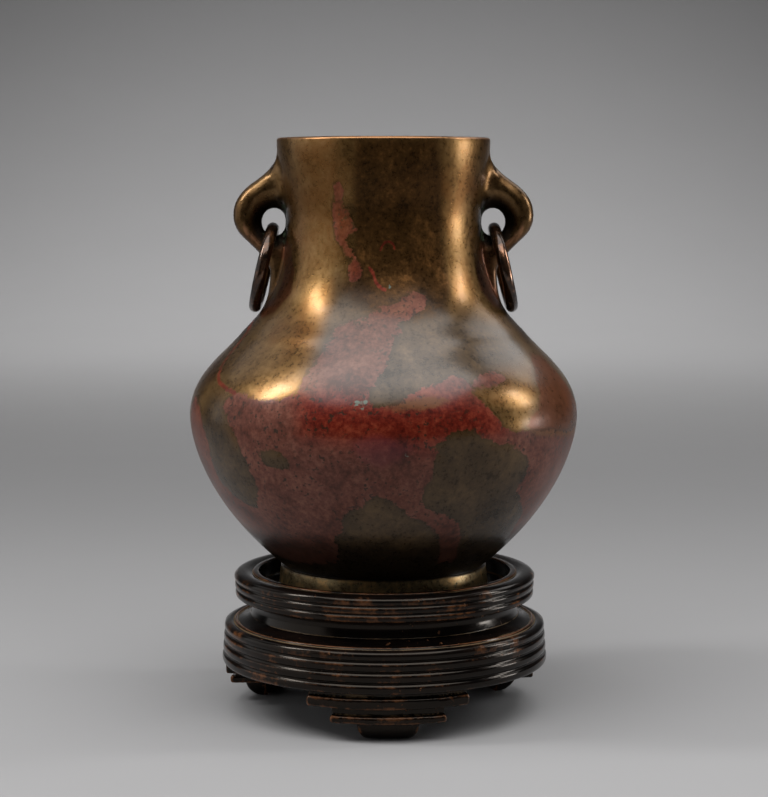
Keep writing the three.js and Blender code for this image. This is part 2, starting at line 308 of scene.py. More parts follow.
def loop_outline():
    """Side view of one loop and of the ridge below it, as (reach, height) corners."""
    root = (MOUTH_RADIUS - VASE_WALL / 2, VASE_HEIGHT - LOOP_TOP_BELOW_RIM)
    hip = (NECK_RADIUS + HIP_REACH, HOLE_HEIGHT + HIP_RISE)
    side = (NECK_RADIUS + LOOP_REACH, HOLE_HEIGHT + HOLE_HALF_HEIGHT / 2)
    under = (NECK_RADIUS + UNDER_REACH, HOLE_HEIGHT - UNDER_DROP)
    ridge = (NECK_RADIUS + RIDGE_REACH, HOLE_HEIGHT - RIDGE_DROP)
    end = (NECK_RADIUS + RIDGE_END_REACH, ridge[1] - RIDGE_LENGTH)
    sunk = NECK_RADIUS - ROOT_DEPTH
    curve = joined(
        sweep(root, away(root, -84, 10), away(hip, 180 - HIP_SLOPE, 9), hip, 12),
        sweep(hip, away(hip, -HIP_SLOPE, 7), away(side, 90, 8), side, 14),
        sweep(side, away(side, -90, 8), away(under, UNDER_SLOPE, 4), under, 12),
        sweep(under, away(under, UNDER_SLOPE - 180, 10), away(ridge, 90, 4), ridge, 12),
        sweep(ridge, away(ridge, -90, 13), away(end, 140, 5), end, 12),
    )
    heel = (end[0], end[1] - ROOT_DEPTH)
    return np.vstack([[(sunk, root[1])], curve, [heel, (sunk, heel[1])]])


LOOP_EDGE = loop_outline()


def loop_hole():
    a = np.linspace(0, 2 * math.pi, 48, endpoint=False)
    x = NECK_RADIUS + HOLE_REACH + HOLE_HALF_WIDTH * np.cos(a)
    return np.stack([x, HOLE_HEIGHT + HOLE_HALF_HEIGHT * np.sin(a)], 1)


LOOP_HOLE = loop_hole()


def loop_side():
    """Distances to the edge of a loop's side view, on a grid."""
    axes = [np.arange(a, b, SIDE_CELL) for a, b in zip(SIDE_LOW, SIDE_HIGH)]
    flat = np.stack(np.meshgrid(*axes, indexing="ij"), -1)
    places = flat.reshape(-1, 2)
    edge = np.maximum(edge_distance(places, LOOP_EDGE), -edge_distance(places, LOOP_HOLE))
    return edge.reshape(flat.shape[:2])


LOOP_SIDE = loop_side()


def loop_distances(points):
    """Distances to a loop's bar and to the neck's outside, for points of the right side."""
    at = (points[:, [0, 2]] - SIDE_LOW) / SIDE_CELL
    i = np.clip(np.floor(at).astype(int), 0, np.array(LOOP_SIDE.shape) - 2)
    f, g = np.clip(at - i, 0, 1).T
    a, b = i.T
    side = (
        LOOP_SIDE[a, b] * (1 - f) * (1 - g)
        + LOOP_SIDE[a + 1, b] * f * (1 - g)
        + LOOP_SIDE[a, b + 1] * (1 - f) * g
        + LOOP_SIDE[a + 1, b + 1] * f * g
    )
    height = points[:, 2]
    upper = smooth_step(height, RIDGE_TOP, LOOP_BOTTOM)
    rounding = RIDGE_ROUNDING + (LOOP_ROUNDING - RIDGE_ROUNDING) * upper
    across = (points[:, 0] - NECK_RADIUS - HOLE_REACH) / HOLE_HALF_WIDTH
    from_hole = HOLE_HALF_WIDTH * (np.hypot(across, (height - HOLE_HEIGHT) / HOLE_HALF_HEIGHT) - 1)
    funnel = FUNNEL_DEPTH * (1 - smooth_step(from_hole, -1, FUNNEL_REACH)) * upper
    taper = RIDGE_TAPER * np.clip(points[:, 0] - NECK_RADIUS, 0, LOOP_REACH) * (1 - upper)
    half = LOOP_HALF_THICKNESS - funnel - taper
    bar = rounded_bar(side, np.abs(points[:, 1]) - half, np.minimum(rounding, half - 0.4))
    steep = radius_at(height + 0.5) - radius_at(height - 0.5)
    neck = (np.hypot(points[:, 0], points[:, 1]) - radius_at(height)) / np.hypot(1, steep)
    return bar, neck


def loop_field(points):
    """Distance to the skin of a loop with its fillets, and of its root inside the wall."""
    bar, neck = loop_distances(points)
    height = points[:, 2]
    fade = 1 - smooth_step(height, FILLET_FADE, VASE_HEIGHT - 5)
    wide = smooth_step(height, FILLET_START, FILLET_FULL) * fade
    wide = wide * smooth_step(np.abs(points[:, 1]), 1, 7)
    reach = RIDGE_FILLET + (ROOT_FILLET - RIDGE_FILLET) * wide
    whole = soft_least(bar, neck, reach) + 0.03
    return soft_most(soft_most(whole, bar - reach, 1.2), -(neck + 2), 1.2)


def placed(name, data):
    """A new object of the scene that shows the given data."""
    thing = bpy.data.objects.new(name, data)
    bpy.context.scene.collection.objects.link(thing)
    return thing


def mesh_piece(name, points, faces, unit=MM):
    mesh = bpy.data.meshes.new(name)
    mesh.from_pydata((np.asarray(points) * unit).tolist(), [], faces)
    mesh.validate()
    mesh.shade_smooth()
    return placed(name, mesh)


def fused(piece, others):
    """Joins other closed pieces into one by a boolean, and throws their own objects away."""
    for other in others:
        cut = piece.modifiers.new("join", "BOOLEAN")
        cut.operation, cut.solver, cut.object = "UNION", "EXACT", other
    depsgraph = bpy.context.evaluated_depsgraph_get()
    mesh = bpy.data.meshes.new_from_object(piece.evaluated_get(depsgraph))
    piece.modifiers.clear()
    old, piece.data = piece.data, mesh
    mesh.name = piece.name
    for other in others:
        bpy.data.objects.remove(other, do_unlink=True)
    bpy.data.meshes.remove(old)
    mesh.shade_smooth()
    return piece


def readings(items, name, width, kind=float):
    """The numbers of one name that a mesh keeps for its vertices or edges, a row for each."""
    rows = np.empty(len(items) * width, kind)
    items.foreach_get(name, rows)
    return rows.reshape(-1, width)


def vertices(piece):
    return readings(piece.data.vertices, "co", 3) / MM


def spread_out(values, pairs, rounds):
    """Averages each vertex's value with its neighbours' a few times."""
    a, b = pairs.T
    size = len(values)
    count = np.bincount(pairs.ravel(), minlength=size).astype(float) + 1
    for _ in range(rounds):
        near = np.bincount(a, values[b], size) + np.bincount(b, values[a], size)
        values = (values + near) / count
    return values


def bend(piece, rounds):
    """How sharply the surface bends at each vertex, per millimetre: positive on outer edges."""
    co, n = vertices(piece), readings(piece.data.vertices, "normal", 3)
    pairs = readings(piece.data.edges, "vertices", 2, int)
    a, b = pairs.T
    way = co[b] - co[a]
    turn = ((n[b] - n[a]) * way).sum(1) / np.maximum((way**2).sum(1), 1e-4)
    total = np.bincount(a, turn, len(co)) + np.bincount(b, turn, len(co))
    count = np.bincount(pairs.ravel(), minlength=len(co))
    return spread_out(np.clip(total / np.maximum(count, 1), -3, 3), pairs, rounds)


def tell(piece, name, values):
    """Stores a number for each vertex that the finishes read."""
    layer = piece.data.attributes.new(name, "FLOAT", "POINT")
    layer.data.foreach_set("value", np.asarray(values, np.float32))


def lip_points(side, steps=7):
    middle, half = MOUTH_RADIUS - VASE_WALL / 2, VASE_WALL / 2
    a = np.linspace(0, math.pi / 2, steps + 1)
    return np.stack([middle + side * half * np.cos(a), VASE_HEIGHT - half + half * np.sin(a)], 1)


def vase_profile():
    """The vase's section from the middle of its floor, over the lip, to the recess under it."""
    coarse = vase_outline(0.34)
    way = np.gradient(coarse, axis=0)
    way /= np.linalg.norm(way, axis=1)[:, None]
    inner = coarse + VASE_WALL * np.stack([-way[:, 1], way[:, 0]], 1)
    inner = inner[(inner[:, 1] > VASE_FLOOR + 1.5) & (inner[:, 1] < VASE_HEIGHT - VASE_WALL)]
    start = inner[0, 0]
    floor = [(share * start, VASE_FLOOR, ease) for share, ease in ((0, 0), (0.5, 0), (1, 3))]
    floor = eased(*floor, (*inner[0], 0))
    outer = vase_outline()[::-1]
    ring = eased(
        (*outer[-2], 0),
        (*CREASE, 0.5),
        (FOOT_TOP_RADIUS - 0.2, FOOT_HEIGHT, 0.5),
        (FOOT_RADIUS, 0.6, 0.6),
        (FOOT_RADIUS - 0.9, 0, 0.5),
        (FOOT_RADIUS - FOOT_WALL + 0.6, 0, 0.6),
        (FOOT_RADIUS - FOOT_WALL, FOOT_RECESS, 1.5),
        (0, FOOT_RECESS, 0),
    )
    foot = np.vstack([filled(ring[1:-1], 1.6), ring[-1:]])
    return np.vstack([floor, inner[1:], lip_points(-1), lip_points(1)[::-1][1:], outer[1:-1], foot])


def make_vase():
    points, faces = lathe(vase_profile()[::-1], VASE_COLUMNS)
    points[:, 2] += VASE_BASE
    shell = mesh_piece("hu_vase", points, faces)
    net, quads = skin(loop_field, LOOP_LOW, LOOP_HIGH, LOOP_CELL)
    net[:, 2] += VASE_BASE
    right = mesh_piece("right_loop", net, quads)
    left = mesh_piece("left_loop", net * [-1, -1, 1], quads)
    return fused(shell, [right, left])


def make_ring(name, node, joint):
    """A ring of round wire that hangs from the point its joint turns about."""
    low, high = corners(node)
    middle = (low + high) / 2
    pivot = np.array(next(j["pos_m"] for j in frame["joints"] if j["name"] == joint)) / MM
    hang = (middle - pivot) / np.linalg.norm(middle - pivot)
    across = np.array([0.0, 1.0, 0.0])
    flat = np.cross(hang, across)
    radius = high[1] - RING_WIRE
    a = np.linspace(0, 2 * math.pi, RING_TURNS, endpoint=False)[:, None, None]
    b = np.linspace(0, 2 * math.pi, RING_SIDES, endpoint=False)[None, :, None]
    out = np.cos(a) * hang + np.sin(a) * across
    side = (out * np.cos(b) + flat * np.sin(b)).reshape(-1, 3)
    core = np.repeat((middle + radius * out).reshape(-1, 3), RING_SIDES, axis=0)
    points = core + RING_WIRE * side
    points -= side * (RING_WEAR + 0.1 * unevenness(points, 9))[:, None]
    i, j = np.meshgrid(np.arange(RING_TURNS), np.arange(RING_SIDES), indexing="ij")
    here, there = i * RING_SIDES, (i + 1) % RING_TURNS * RING_SIDES
    up = (j + 1) % RING_SIDES
    quads = np.stack([here + j, there + j, there + up, here + up], -1)
    return mesh_piece(name, points, quads.reshape(-1, 4).tolist())


def reed(radius, top, height, depth, steps=12, fullness=2.4):
    """One bulge between two grooves, from its top groove down."""
    t = np.linspace(-1, 1, steps + 1)
    swell = (1 - np.abs(t) ** fullness) ** (1 / fullness)
    return np.stack([radius - depth + depth * swell, top - height * (t + 1) / 2], 1)


def stand_profile():
    """The stand's section from the middle of the tray, over the rim, to the hollow under it."""
    bead_end, bead_top = WELL_RADIUS + BEAD_WIDTH, TRAY_TOP + BEAD_RISE
    well = eased(
        (0, TRAY_FLOOR, 0),
        (WELL_RADIUS * 0.6, TRAY_FLOOR, 0),
        (WELL_RADIUS, TRAY_FLOOR, 1.2),
        (WELL_RADIUS, bead_top - 0.2, 1.0),
        (WELL_RADIUS + 1.4, bead_top, 0.7),
        (bead_end - 0.2, bead_top - 0.3, 0.6),
        (bead_end, TRAY_TOP - 0.7, 0.25),
        (bead_end + 0.5, TRAY_TOP - 0.5, 0.25),
        (bead_end + 3.5, TRAY_TOP + 0.45, 2.6),
        (TRAY_RADIUS - 1.6, TRAY_TOP + 0.1, 2.2),
        (TRAY_RADIUS, TRAY_TOP - 1.9, 1.4),
    )
    first = reed(TRAY_RADIUS, TRAY_TOP - 0.3, TRAY_REED - 0.1, TRAY_REED_DEPTH)
    tray = [first[len(first) // 2 :]]
    for k in range(1, TRAY_REEDS):
        radius = TRAY_RADIUS - TRAY_TAPER * k
        tray.append(reed(radius, TRAY_TOP - TRAY_REED * k - 0.3, TRAY_REED, TRAY_REED_DEPTH)[1:])
    tray_end = tray[-1][-1]
    flared, line, top = WAIST_RADIUS + WAIST_FLARE, LEDGE_LINE_RADIUS, BASE_TOP
    waist = eased(
        (*tray_end, 0),
        (flared + 1.5, tray_end[1] + 0.3, 0.3),
        (flared, tray_end[1] - 0.3, 0.8),
        (WAIST_RADIUS, (tray_end[1] + WAIST_FOOT) / 2, 3.6),
        (flared, WAIST_FOOT, 0.3),
        (flared + 0.3, WAIST_FOOT - 0.7, 0.3),
        ((WAIST_RADIUS + line) / 2, (WAIST_FOOT + 3 * top) / 4, 2.4),
        (line - 0.9, top - 0.1, 0.4),
        (line - 0.4, top + 0.5, 0.3),
        (line + 0.4, top + 0.45, 0.3),
        (line + 0.9, top - 0.5, 0.3),
        (line + 1.4, top - 0.6, 0.3),
        (BASE_RADIUS - 4.2, top - 0.1, 1.8),
        (BASE_RADIUS - 1.7, top - 1.2, 1.4),
    )
    base = []
    for k in range(BASE_REEDS):
        radius = BASE_RADIUS - BASE_TAPER * (BASE_REEDS - 1 - k)
        one = reed(radius, top - BASE_REED * k, BASE_REED, BASE_REED_DEPTH)
        base.append(one[len(one) // 2 :] if k == 0 else one[1:])
    base_end, roof = base[-1][-1], TRAY_FLOOR - TRAY_THICKNESS
    under = eased(
        (*base_end, 0),
        (UNDERSIDE_RADIUS, base_end[1], 1.0),
        (UNDERSIDE_RADIUS, UNDERSIDE_SHOULDER, 2.0),
        (UNDERSIDE_NECK, (UNDERSIDE_SHOULDER + TRAY_FLOOR - TRAY_THICKNESS) / 2, 2.0),
        (UNDERSIDE_NECK, roof, 2.0),
        (UNDERSIDE_NECK * 0.5, roof, 0),
        (0, roof, 0),
    )
    head = joined(filled(well[1:], 2.4), *tray, filled(waist, 2.4)[1:])
    return np.vstack([well[:1], head, joined(*base), filled(under, 5)[1:]])


def foot_field(points, turn):
    """Distance to one stepped foot: three blocks on an arc, each narrower than the one above."""
    rho = np.hypot(points[:, 0], points[:, 1])
    angle = np.arctan2(points[:, 1], points[:, 0]) - math.radians(turn)
    angle = (angle + math.pi) % (2 * math.pi) - math.pi
    turned = np.abs(angle)
    height = points[:, 2]
    whole = None
    steps = ((*UPPER_STEP, UPPER_QUIRK), (*LOWER_STEP, LOWER_QUIRK))
    for radius, bottom, top, half, quirk in steps:
        end = (turned - math.radians(half)) * rho
        step_side = soft_most(rho - radius, soft_most(bottom - height, height - top, 0.1), 1.5)
        step = soft_most(step_side, end, 1.3)
        core = np.maximum(np.maximum(rho - (radius - quirk), bottom + 0.5 - height), end + 0.3)
        block = soft_least(step, core, 0.5)
        whole = block if whole is None else soft_least(whole, block, 0.6)
    lean = np.clip(1 - height / LOWER_STEP[1], 0, 1)
    toe_face = rho - (TOE_RADIUS - (TOE_RADIUS - TOE_BOTTOM_RADIUS) * lean**2.6)
    toe_end = (turned - math.radians(TOE_ANGLE)) * rho + 2.4 * lean**3 + 0.8 * lean
    toe = soft_most(soft_most(toe_face, toe_end, 2.0), 0.02 - height, 1.0)
    whole = soft_least(whole, toe, 2.2)
    top = UPPER_STEP[2] + FOOT_ROOT
    whole = soft_most(soft_most(whole, FOOT_INNER_RADIUS - rho, 1.0), height - top, 0.5)
    worn = FOOT_WEAR * unevenness(points, 7, 1) + 0.10 * unevenness(points, 2.6, 2)
    return whole + FOOT_WEAR + np.clip(worn, -FOOT_WEAR, 1) * (height < UPPER_STEP[2])


def make_stand():
    points, faces = lathe(stand_profile()[::-1], STAND_COLUMNS)
    body = mesh_piece("turned_stand", points + [STAND_MIDDLE, 0, 0], faces)
    feet = []
    for number, turn in enumerate(FOOT_TURNS):
        span = np.radians(np.linspace(-FOOT_SPAN, FOOT_SPAN, 40)) + math.radians(turn)
        ring = np.stack([np.cos(span), np.sin(span)], 1)
        ring = np.concatenate([ring * radius for radius in FOOT_RADII])
        low = (*ring.min(0), -FOOT_BELOW)
        high = (*ring.max(0), UPPER_STEP[2] + FOOT_ABOVE)
        net, quads = skin(lambda p: foot_field(p, turn), low, high, FOOT_CELL)
        feet.append(mesh_piece(f"foot_{number}", net + [STAND_MIDDLE, 0, 0], quads))
    return fused(body, feet)


# Patina patches of the front, as outlines in picture coordinates.
RED_FIELD = (
    (236, 392), (227, 399), (224, 408), (228, 421), (232, 431), (237, 437), (241, 447), (247, 461),
    (252, 475), (258, 488), (260, 497), (257, 503), (260, 509), (252, 507), (243, 502), (231, 493),
    (222, 484), (214, 468), (209, 448), (205, 430), (200, 410), (196, 396), (193, 400), (191, 420),
    (194, 440), (202, 465), (214, 490), (230, 512), (248, 530), (262, 541), (272, 552), (300, 562),
    (338, 562), (340, 546), (332, 540), (343, 531), (342, 522), (349, 513), (360, 508), (366, 500),
    (378, 496), (392, 502), (403, 510), (411, 517), (424, 521), (433, 529), (438, 537), (440, 550),
    (437, 563), (455, 562), (456, 548), (460, 536), (458, 524), (447, 516), (436, 513), (425, 509),
    (420, 501), (424, 487), (431, 478), (433, 465), (438, 452), (427, 447), (446, 440), (446, 434),
    (460, 431), (475, 430), (483, 436), (492, 438), (498, 445), (510, 444), (521, 448), (528, 453),
    (530, 461), (526, 474), (520, 483), (516, 492), (521, 500), (522, 512), (514, 528), (505, 541),
    (516, 540), (534, 520), (550, 496), (564, 468), (573, 440), (575, 424), (568, 432), (548, 431),
    (530, 431), (515, 431), (503, 428), (496, 418), (487, 409), (479, 400), (470, 392), (480, 385),
    (490, 388), (500, 384), (508, 380), (500, 373), (489, 371), (478, 377), (471, 384), (462, 378),
    (450, 376), (440, 384), (428, 389), (411, 395), (400, 401), (390, 406), (378, 409), (369, 404),
    (369, 390), (377, 382), (385, 368), (392, 351), (397, 338), (403, 324), (413, 315), (430, 300),
    (424, 293), (408, 297), (394, 306), (378, 313), (364, 318), (348, 322), (337, 328), (328, 338),
    (324, 348), (317, 361), (309, 372), (303, 383), (296, 394), (280, 400), (262, 401), (248, 397),
)
NECK_STREAK = (
    (333, 184), (339, 181), (343, 190), (342, 200), (346, 207), (350, 204), (357, 210), (352, 215),
    (354, 223), (359, 232), (350, 232), (346, 240), (351, 248), (356, 251), (354, 258), (358, 262),
    (362, 269), (362, 276), (357, 281), (351, 279), (348, 272), (350, 264), (346, 256), (341, 247),
    (336, 239), (335, 228), (333, 218), (332, 206), (335, 195),
)
OVAL_ISLAND = (
    (258, 452), (264, 449), (273, 450), (281, 454), (288, 461), (288, 468), (278, 470), (268, 467),
    (260, 460),
)
# Thin veins of red, each a line and its width in the picture.
SHOULDER_VEIN = (
    (254, 320), (247, 332), (238, 344), (228, 356), (220, 369), (219, 380), (225, 388), (236, 394),
)
NECK_ARC = ((379, 253), (382, 245), (388, 241), (393, 243), (395, 250))
LOWER_ARC = ((369, 267), (374, 274), (375, 281), (381, 287), (386, 290))
VEINS = ((SHOULDER_VEIN, 4.0), (NECK_ARC, 3.2), (LOWER_ARC, 4.4))

# Where the smooth dark patina lies over the golden bronze, and the painted dark reflection on the
# middle of the neck.
SHOULDER_CLOUD = (
    (338, 279), (352, 284), (372, 288), (390, 291), (408, 287), (430, 279), (440, 292), (452, 312),
    (474, 314), (500, 326), (520, 342), (528, 356), (520, 368), (500, 374), (482, 384), (462, 394),
    (440, 400), (400, 412), (372, 412), (340, 400), (318, 380), (312, 360), (320, 336), (330, 308),
)
LEFT_FLANK = (
    (214, 388), (226, 400), (230, 430), (245, 460), (262, 500), (262, 516), (240, 506), (222, 490),
    (208, 462), (202, 430), (203, 404),
)
RIGHT_ISLAND = (
    (428, 446), (446, 433), (462, 429), (477, 428), (495, 440), (512, 442), (530, 450), (534, 462),
    (528, 480), (520, 492), (526, 512), (508, 545), (480, 560), (458, 562), (456, 548), (461, 536),
    (460, 524), (448, 515), (426, 511), (416, 501), (422, 485), (432, 466),
)
RIGHT_FLANK = (
    (530, 354), (542, 357), (556, 372), (570, 390), (578, 410), (579, 436), (548, 436), (532, 434),
    (528, 424), (538, 410), (540, 394), (534, 376),
)
PAINTED_DARK_NECK_MIDDLE = (
    (354, 134), (438, 134), (443, 170), (444, 220), (446, 262), (452, 296), (446, 316), (414, 322),
    (372, 316), (352, 306), (340, 290), (348, 272), (352, 250), (351, 200),
)
LEFT_ISLANDS = (
    (336, 562), (340, 546), (328, 540), (345, 530), (340, 520), (350, 511), (362, 507), (368, 497),
    (386, 492), (404, 510), (424, 519), (436, 528), (441, 540), (440, 563),
)
# The part of the red that is thin and lets the dark patina through, and the band where the red is
# painted more vivid along the belly's middle, which mirrors only the dark front.
THIN_RED = (
    (430, 290), (410, 300), (403, 330), (392, 356), (380, 384), (340, 384), (300, 392), (300, 372),
    (314, 350), (326, 326), (350, 306), (390, 292),
)
VIVID_BAND = (
    (300, 398), (340, 394), (380, 404), (420, 392), (462, 396), (486, 410), (500, 428), (480, 434),
    (446, 440), (420, 446), (380, 440), (340, 438), (306, 430),
)
# A golden-brown stain at the top of the red band and a purple one below it.
BROWN_WEDGE = (
    (386, 406), (398, 400), (418, 397), (440, 398), (452, 402), (436, 406), (420, 411), (398, 413),
)
PURPLE_STAIN = ((352, 444), (372, 438), (396, 440), (412, 448), (404, 460), (384, 468), (362, 462))
# Orange-brown stains on the right of the shoulder and on the neck beside each ridge
ORANGE_STAINS = (
    RIGHT_FLANK,
    ((284, 232), (291, 246), (295, 270), (291, 292), (274, 312), (262, 318), (258, 312),
     (276, 298), (285, 272), (284, 250)),
    ((486, 236), (479, 248), (476, 270), (481, 290), (494, 306), (502, 308), (494, 292),
     (488, 270)),
)
# Grey-green specks of verdigris: a place in the picture and a width.
SPECKS = (
    ((358, 403), 6.0), ((363, 408), 4.5), ((367, 401), 3.0), ((390, 287), 4.5), ((375, 420), 3.0),
    ((397, 286), 2.5), ((406, 455), 3.5), ((330, 162), 2.5), ((358, 161), 2.5),
)

# Patches of the back, as (degrees round from the front, height above the vase's foot).
BACK_FIELD = (
    (98, 118), (110, 128), (126, 119), (140, 131), (155, 140), (168, 132), (181, 137), (192, 126),
    (205, 118), (216, 104), (228, 110), (240, 98), (252, 104), (263, 90), (258, 74), (246, 62),
    (234, 66), (224, 50), (208, 42), (196, 54), (182, 58), (168, 44), (154, 36), (140, 48),
    (130, 60), (116, 64), (106, 52), (98, 40), (90, 28), (78, 22), (74, 40), (76, 60), (80, 88),
    (88, 97), (93, 106),
)
BACK_ISLANDS = (
    ((148, 100), (153, 109), (161, 111), (165, 117), (172, 110), (180, 108), (182, 100),
     (189, 97), (184, 88), (187, 79), (179, 72), (172, 77), (163, 69), (156, 75), (149, 78),
     (150, 87), (143, 92)),
    ((203, 83), (210, 91), (217, 88), (222, 94), (229, 85), (224, 78), (226, 69), (217, 71),
     (210, 64), (207, 75)),
    ((109, 97), (114, 105), (119, 101), (124, 106), (129, 97), (124, 91), (126, 83), (119, 86),
     (113, 81), (108, 88)),
)
BACK_STREAK = (
    (186, 224), (191, 218), (190, 204), (195, 190), (193, 172), (198, 160), (193, 150), (187, 158),
    (188, 174), (184, 188), (186, 204),
)

# Painted dark strips of the neck, the dark front's reflection carried round to the back and shade
# with some dirt below each loop: the turn of each in degrees, its depth there and how fast that
# falls
NECK_FROM = 140
BACK_STRIP_TURN, BACK_STRIP_DEPTH, BACK_STRIP_SLOPE = 190, 14, 0.9
SIDE_STRIP_TURN, SIDE_STRIP_DEPTH, SIDE_STRIP_SLOPE = 90, 15, 0.8
SIDE_STRIP_HEIGHT, SIDE_STRIP_REACH = 158, 30
# How far the dark patina goes past the red of the back, and how far below the belly it starts
BACK_RIM, BELLY_RIM = 16, 8
# Charts are drawn at this share of the belly's girth. Depths are told no further than the limit.
CHART_SHARE, DEPTH_LIMIT = 0.85, 20
# A point this far within the vase's outline is on the inside of its wall.
INSIDE_FROM = 1.2
# Distances from the camera between which the vase's surface is looked for
SIGHT_START, SIGHT_END, SIGHT_STEP = 960.0, 1180.0, 0.5
# How much each direction counts in the distance from a loop hole, and where that distance ends
HOLE_WEIGHTS, HOLE_SHADE_REACH = (1, 0.6, 0.9), 9.0


def chart(points):
    """Degrees round from the front and height above the vase's foot, for points of the vase."""
    turn = np.degrees(np.arctan2(points[:, 0], -points[:, 1]))
    return np.stack([turn % 360, points[:, 2] - VASE_BASE], 1)


def unrolled(places):
    """Chart places as lengths along the belly, so that distances are in millimetres."""
    return places * [math.radians(1) * CHART_SHARE * BELLY_RADIUS, 1.0]


def seen_on_vase(pixels):
    """Chart places of the vase's surface behind places of the picture."""
    pixels = np.array(pixels, float)
    right = (pixels[:, 0] - PICTURE_WIDTH / 2) / FOCAL_PIXELS
    up = (PICTURE_HEIGHT / 2 - pixels[:, 1]) / FOCAL_PIXELS
    c, s = math.cos(CAMERA_DIP), math.sin(CAMERA_DIP)
    way = np.stack([right, c + up * s, up * c - s], 1)
    near = np.array(CAMERA_PLACE) / MM - [0, 0, VASE_BASE]
    far = np.arange(SIGHT_START, SIGHT_END, SIGHT_STEP)
    along = near + way[:, None, :] * far[None, :, None]
    gap = np.hypot(along[..., 0], along[..., 1]) - radius_at(along[..., 2])
    first = np.where((gap < 0).any(1), (gap < 0).argmax(1), gap.argmin(1))
    hit = along[np.arange(len(pixels)), first]
    return chart(hit + [0, 0, VASE_BASE])


def beside_front(places):
    """Turns beyond the back become negative, so that the front is one stretch of the chart."""
    return np.stack([(places[:, 0] + 180) % 360 - 180, places[:, 1]], 1)


def front_lengths(places):
    return unrolled(beside_front(places))


def patch_depth(places, pixels):
    """How far chart places lie inside a patch that is outlined in the picture."""
    return -edge_distance(front_lengths(places), front_lengths(seen_on_vase(pixels)))


def back_depth(places, outline):
    return -edge_distance(unrolled(places), unrolled(np.array(outline, float)))


def vein_marks(flat):
    """Distance across the nearest vein, of one sign on each side, and how far inside its reach."""
    best, side, reach = np.full(len(flat), 1e9), np.zeros(len(flat)), np.zeros(len(flat))
    for pixels, width in VEINS:
        line = front_lengths(seen_on_vase(pixels))
        for a, b in zip(line[:-1], line[1:]):
            way, rel = b - a, flat - a
            length = np.linalg.norm(way)
            along = rel @ way / length
            past = np.maximum(np.maximum(-along, along - length), 0)
            across = (way[0] * rel[:, 1] - way[1] * rel[:, 0]) / length
            near = np.hypot(across, past)
            closer = near < best
            best = np.where(closer, near, best)
            side = np.where(closer, across, side)
            reach = np.where(closer, width / 4 - 2 * past, reach)
    return side, reach


def tell_edges(piece, rounds, gain):
    """Stores how much of an outer edge and how much of a crevice each vertex is on."""
    turn = bend(piece, rounds) * gain
    tell(piece, "edge", np.clip(turn, 0, 1))
    tell(piece, "crevice", np.clip(-turn, 0, 1))


def mark_vase(piece):
    """Stores where the patches of patina, the painted dark of the neck, the crevices and the worn
    edges of the vase are.
    """
    co = vertices(piece)
    places = chart(co)
    flat = front_lengths(places)
    turn, height = places.T
    past_wall = np.hypot(co[:, 0], co[:, 1]) - radius_at(height)
    outside = (past_wall > -INSIDE_FROM) | (height < FOOT_HEIGHT + 1)

    def within(*outlines, depth=patch_depth):
        return np.maximum.reduce([depth(places, outline) for outline in outlines])

    streak = within(NECK_STREAK)
    back = within(BACK_FIELD, BACK_STREAK, depth=back_depth)
    island = np.maximum(within(OVAL_ISLAND), within(*BACK_ISLANDS, depth=back_depth))
    red = np.maximum.reduce([within(RED_FIELD), streak, back])
    dark = [within(SHOULDER_CLOUD, LEFT_FLANK, RIGHT_ISLAND, LEFT_ISLANDS, RIGHT_FLANK)]
    dark += [island, back + BACK_RIM, BELLY_HEIGHT - BELLY_RIM - height]
    specks = []
    for place, width in SPECKS:
        middle = front_lengths(seen_on_vase([place]))
        specks.append(width / 4 - np.linalg.norm(flat - middle, axis=1))
    vein_side, vein_reach = vein_marks(flat)
    # Painted dark on the neck: the dark front mirrored on its middle, the same strip at the back,
    # and shade with some dirt below each loop
    from_back = np.abs(turn - BACK_STRIP_TURN)
    from_side = np.abs(np.abs(beside_front(places)[:, 0]) - SIDE_STRIP_TURN)
    strip = SIDE_STRIP_REACH - np.abs(height - SIDE_STRIP_HEIGHT)
    strip = np.minimum(SIDE_STRIP_DEPTH - from_side * SIDE_STRIP_SLOPE, strip)
    neck = np.maximum(within(PAINTED_DARK_NECK_MIDDLE), BACK_STRIP_DEPTH - from_back * BACK_STRIP_SLOPE)
    neck = np.maximum(np.where(height > NECK_FROM, neck, -DEPTH_LIMIT), strip)
    marks = {
        "red_depth": np.minimum(red, -island),
        "dark_depth": np.maximum.reduce(dark),
        "speck_depth": np.maximum.reduce(specks),
        "vein_side": vein_side,
        "vein_reach": vein_reach,
        "thin_depth": np.maximum(within(THIN_RED), streak - 1),
        "vivid_depth": np.maximum(within(VIVID_BAND), streak - 5),
        "brown_stain": within(BROWN_WEDGE, *ORANGE_STAINS),
        "neck_dark": neck,
        "purple_stain": within(PURPLE_STAIN),
        "on_loop": smooth_step(past_wall, 0.3, 3.5),
        "inside": 1 - outside,
        "loop_depth": near_hole(co),
    }
    for name, values in marks.items():
        tell(piece, name, np.clip(values, -DEPTH_LIMIT, DEPTH_LIMIT))
    tell(piece, "height", height)
    tell_edges(piece, 3, 6)


def near_hole(co):
    """How close a point is to one of the loop holes: 1 at its edge and 0 a loop's width away."""
    middle = [NECK_RADIUS + HOLE_REACH, 0, HOLE_HEIGHT + VASE_BASE]
    gap = np.linalg.norm((np.abs(co) - middle) * HOLE_WEIGHTS, axis=1)
    return np.clip(1 - (gap - HOLE_HALF_WIDTH) / HOLE_SHADE_REACH, 0, 1)


